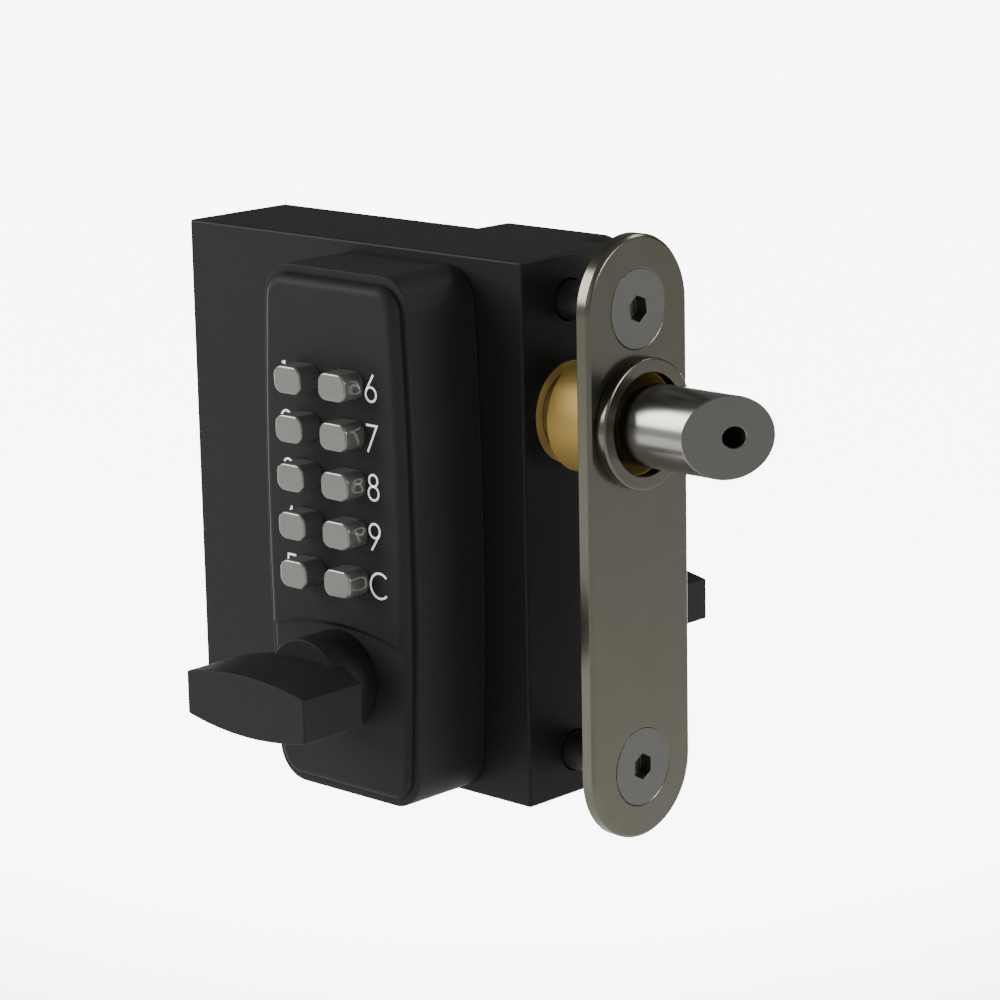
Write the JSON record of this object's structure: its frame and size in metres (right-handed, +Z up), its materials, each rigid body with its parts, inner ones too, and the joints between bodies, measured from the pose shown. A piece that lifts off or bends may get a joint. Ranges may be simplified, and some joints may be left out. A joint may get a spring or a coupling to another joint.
{
  "type": "code gate lock",
  "caption": "Gate lock with a push-button keypad, a turn knob on each side, a faceplate clamped to the gate's upright and a round bevelled sliding bolt in a collar.",
  "frame": {"origin": "centre of the case's flat end that lies against the gate's upright, midway between the fixing screws", "axes": "+X along the bolt's throw, from the case through the upright; +Y from the keypad side to the rear; +Z up"},
  "size_m": [0.1782, 0.1526, 0.154],
  "materials": {
    "dark_coat": "dark charcoal satin coat",
    "black_plastic": "black satin moulding",
    "nickel": "satin, bright along its edges",
    "steel": "ground and polished",
    "key_metal": "satin face, polished sides",
    "zinc": "zinc plated",
    "brass": "machined",
    "rubber": "moulded"
  },
  "bodies": {
    "case": {"case_body": "dark_coat", "case_cover": "dark_coat", "keypad_housing": "black_plastic", "rear_housing": "black_plastic", "faceplate": "nickel", "bolt_collar": "nickel", "bolt_spring": "steel", "key_springs": "steel", "cover_screws": "zinc", "threaded_blocks": "zinc", "fixing_screws": "zinc", "spring_rod": "zinc", "through_bolts": "zinc", "key_plate": "zinc", "chamber_body": "zinc", "chamber_screws": "zinc", "bolt_liner": "brass", "bolt_guide": "brass", "follower_bushes": "brass", "front_knob_bush": "brass", "rear_knob_bush": "brass", "front_gasket": "rubber", "rear_gasket": "rubber"},
    "bolt": {"bolt": "steel", "hardened_pin": "steel", "bolt_carriage": "zinc", "carriage_pin": "steel", "rack": "steel", "rack_screws": "zinc"},
    "spindle": {"spindle": "steel", "pinion": "steel", "clutch_dog": "steel", "rear_knob": "black_plastic", "rear_circlip": "steel", "rear_grub_screw": "zinc"},
    "front_drive": {"front_knob": "black_plastic", "front_circlip": "steel", "clutch_cam": "steel"},
    "code_slide": {"code_slide": "zinc", "tumblers": "brass"},
    "key_1": {"key_1": "key_metal"},
    "key_2": {"key_2": "key_metal"},
    "key_3": {"key_3": "key_metal"},
    "key_4": {"key_4": "key_metal"},
    "key_5": {"key_5": "key_metal"},
    "key_6": {"key_6": "key_metal"},
    "key_7": {"key_7": "key_metal"},
    "key_8": {"key_8": "key_metal"},
    "key_9": {"key_9": "key_metal"},
    "key_c": {"key_c": "key_metal"}
  },
  "joints": [
    {"name": "spindle_turn", "type": "hinge", "parent": "case", "child": "spindle", "pos_m": [-0.0413, 0, -0.0375], "axis": [0, -1, 0], "range_deg": [0, 90]},
    {"name": "front_knob_turn", "type": "hinge", "parent": "case", "child": "front_drive", "pos_m": [-0.0413, 0, -0.0375], "axis": [0, -1, 0], "range_deg": [0, 90]},
    {"name": "bolt_slide", "type": "slide", "parent": "case", "child": "bolt", "axis": [-1, 0, 0], "range_m": [0, 0.0314], "stiffness_N_per_m": 400, "springref_m": -0.03, "deforming": ["bolt_spring"]},
    {"name": "code_slide_shift", "type": "slide", "parent": "case", "child": "code_slide", "axis": [0, 0, 1], "range_m": [0, 0.003]},
    {"name": "key_1_press", "type": "slide", "parent": "case", "child": "key_1", "axis": [0, 1, 0], "range_m": [0, 0.0025], "stiffness_N_per_m": 600, "springref_m": -0.004, "deforming": ["key_springs"]},
    {"name": "key_2_press", "type": "slide", "parent": "case", "child": "key_2", "axis": [0, 1, 0], "range_m": [0, 0.0025], "stiffness_N_per_m": 600, "springref_m": -0.004},
    {"name": "key_3_press", "type": "slide", "parent": "case", "child": "key_3", "axis": [0, 1, 0], "range_m": [0, 0.0025], "stiffness_N_per_m": 600, "springref_m": -0.004},
    {"name": "key_4_press", "type": "slide", "parent": "case", "child": "key_4", "axis": [0, 1, 0], "range_m": [0, 0.0025], "stiffness_N_per_m": 600, "springref_m": -0.004},
    {"name": "key_5_press", "type": "slide", "parent": "case", "child": "key_5", "axis": [0, 1, 0], "range_m": [0, 0.0025], "stiffness_N_per_m": 600, "springref_m": -0.004},
    {"name": "key_6_press", "type": "slide", "parent": "case", "child": "key_6", "axis": [0, 1, 0], "range_m": [0, 0.0025], "stiffness_N_per_m": 600, "springref_m": -0.004},
    {"name": "key_7_press", "type": "slide", "parent": "case", "child": "key_7", "axis": [0, 1, 0], "range_m": [0, 0.0025], "stiffness_N_per_m": 600, "springref_m": -0.004},
    {"name": "key_8_press", "type": "slide", "parent": "case", "child": "key_8", "axis": [0, 1, 0], "range_m": [0, 0.0025], "stiffness_N_per_m": 600, "springref_m": -0.004},
    {"name": "key_9_press", "type": "slide", "parent": "case", "child": "key_9", "axis": [0, 1, 0], "range_m": [0, 0.0025], "stiffness_N_per_m": 600, "springref_m": -0.004},
    {"name": "key_c_press", "type": "slide", "parent": "case", "child": "key_c", "axis": [0, 1, 0], "range_m": [0, 0.0025], "stiffness_N_per_m": 600, "springref_m": -0.004}
  ],
  "couplings": [
    {"joint": "spindle_turn", "follows": "bolt_slide", "rad_per_m": 50},
    {"joint": "front_knob_turn", "follows": "bolt_slide", "rad_per_m": 50},
    {"joint": "code_slide_shift", "follows": "bolt_slide", "ratio": 0.0955}
  ]
}
